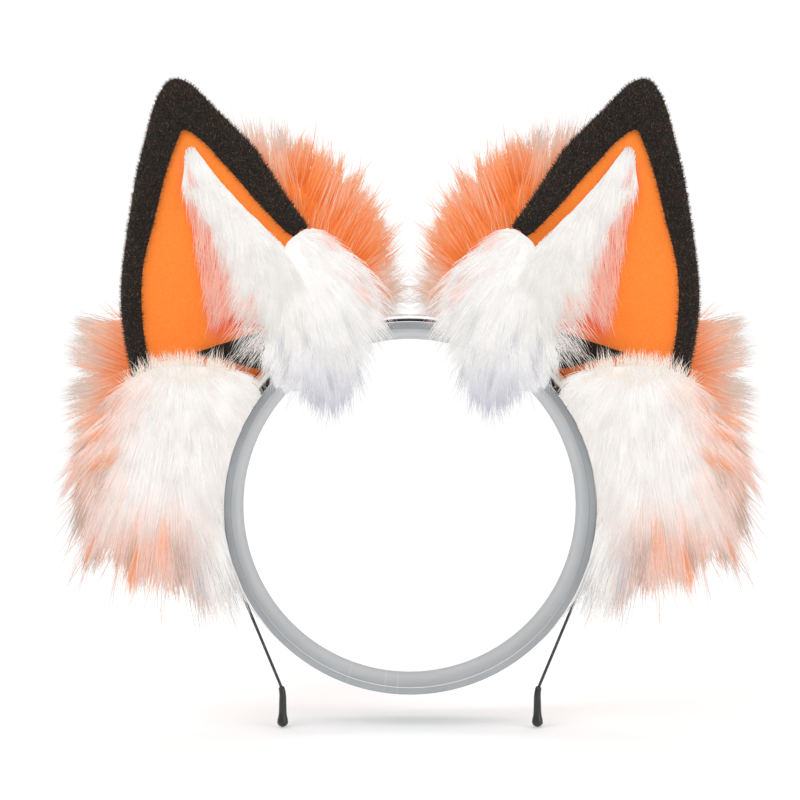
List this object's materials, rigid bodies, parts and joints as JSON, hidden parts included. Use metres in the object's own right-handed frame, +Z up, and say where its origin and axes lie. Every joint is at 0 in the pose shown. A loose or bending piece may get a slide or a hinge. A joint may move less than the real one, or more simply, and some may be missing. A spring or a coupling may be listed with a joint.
{
  "type": "animal ears headband",
  "caption": "Sprung wire headband with pointed furry animal ears, short-pile rims, long cheek and crown fur and ball-capped wire ends, kept in shape by a round plastic hoop.",
  "frame": {"origin": "centre of the wire band's arc, in the plane of the wire, which is also the centre of the hoop's front part and of the head space", "axes": "+X to the right as seen from the front, along the longest extent; +Y from front to back, along the hoop's bore; +Z up, towards the ear tips"},
  "size_m": [0.2356, 0.0657, 0.2328],
  "materials": {
    "spring_wire": "satin black",
    "cap_rubber": "satin",
    "hoop_plastic": "milky, slightly see-through",
    "felt": "matte felt",
    "cord": "twisted",
    "plush_orange": "short pile",
    "plush_black": "short pile",
    "foam": "matte foam",
    "armature_wire": "drawn",
    "fur_white": "long pile",
    "fur_orange": "long pile",
    "filling": "matte fibre"
  },
  "bodies": {
    "crown": {"crown_wire": "spring_wire"},
    "hoop": {"hoop": "hoop_plastic", "hoop_splice": "hoop_plastic"},
    "band_left": {"band_wire_left": "spring_wire", "tip_cap_left": "cap_rubber"},
    "slider_left": {"felt_strip_left": "felt", "wire_loops_left": "cord", "seam_cord_left": "cord"},
    "ear_left": {"ear_lining_left": "plush_orange", "ear_core_left": "foam", "ear_armature_left": "armature_wire", "ear_back_left": "plush_black", "ear_rim_left": "plush_black", "ear_spot_left": "plush_black", "ear_tuft_left": "fur_white", "cheek_fur_left": "fur_white", "cheek_stuffing_left": "filling", "crown_fur_left": "fur_white", "crown_stuffing_left": "filling", "back_fur_left": "fur_orange", "back_stuffing_left": "filling"},
    "band_right": {"band_wire_right": "spring_wire", "tip_cap_right": "cap_rubber"},
    "slider_right": {"felt_strip_right": "felt", "wire_loops_right": "cord", "seam_cord_right": "cord"},
    "ear_right": {"ear_lining_right": "plush_orange", "ear_core_right": "foam", "ear_armature_right": "armature_wire", "ear_back_right": "plush_black", "ear_rim_right": "plush_black", "ear_spot_right": "plush_black", "ear_tuft_right": "fur_white", "cheek_fur_right": "fur_white", "cheek_stuffing_right": "filling", "crown_fur_right": "fur_white", "crown_stuffing_right": "filling", "back_fur_right": "fur_orange", "back_stuffing_right": "filling"}
  },
  "joints": [
    {"name": "band_left_flex", "type": "hinge", "parent": "crown", "child": "band_left", "pos_m": [-0.00588, 0, 0.06724], "axis": [0, 1, 0], "range_deg": [0, 8], "stiffness_Nm_per_rad": 1.5, "springref_deg": -5.73},
    {"name": "ear_left_slide", "type": "hinge", "parent": "band_left", "child": "slider_left", "pos_m": [0, 0, 0], "axis": [0, 1, 0], "range_deg": [-5, 5]},
    {"name": "ear_left_tilt", "type": "hinge", "parent": "slider_left", "child": "ear_left", "pos_m": [-0.05454, 0, 0.04577], "axis": [0.6428, 0, 0.766], "range_deg": [-12, 12]},
    {"name": "band_right_flex", "type": "hinge", "parent": "crown", "child": "band_right", "pos_m": [0.00588, 0, 0.06724], "axis": [0, -1, 0], "range_deg": [0, 8], "stiffness_Nm_per_rad": 1.5, "springref_deg": -5.73},
    {"name": "ear_right_slide", "type": "hinge", "parent": "band_right", "child": "slider_right", "pos_m": [0, 0, 0], "axis": [0, -1, 0], "range_deg": [-5, 5]},
    {"name": "ear_right_tilt", "type": "hinge", "parent": "slider_right", "child": "ear_right", "pos_m": [0.05454, 0, 0.04577], "axis": [0.6428, 0, -0.766], "range_deg": [-12, 12]},
    {"name": "hoop_pull", "type": "slide", "parent": "crown", "child": "hoop", "axis": [0, 1, 0], "range_m": [0, 0.06]}
  ]
}
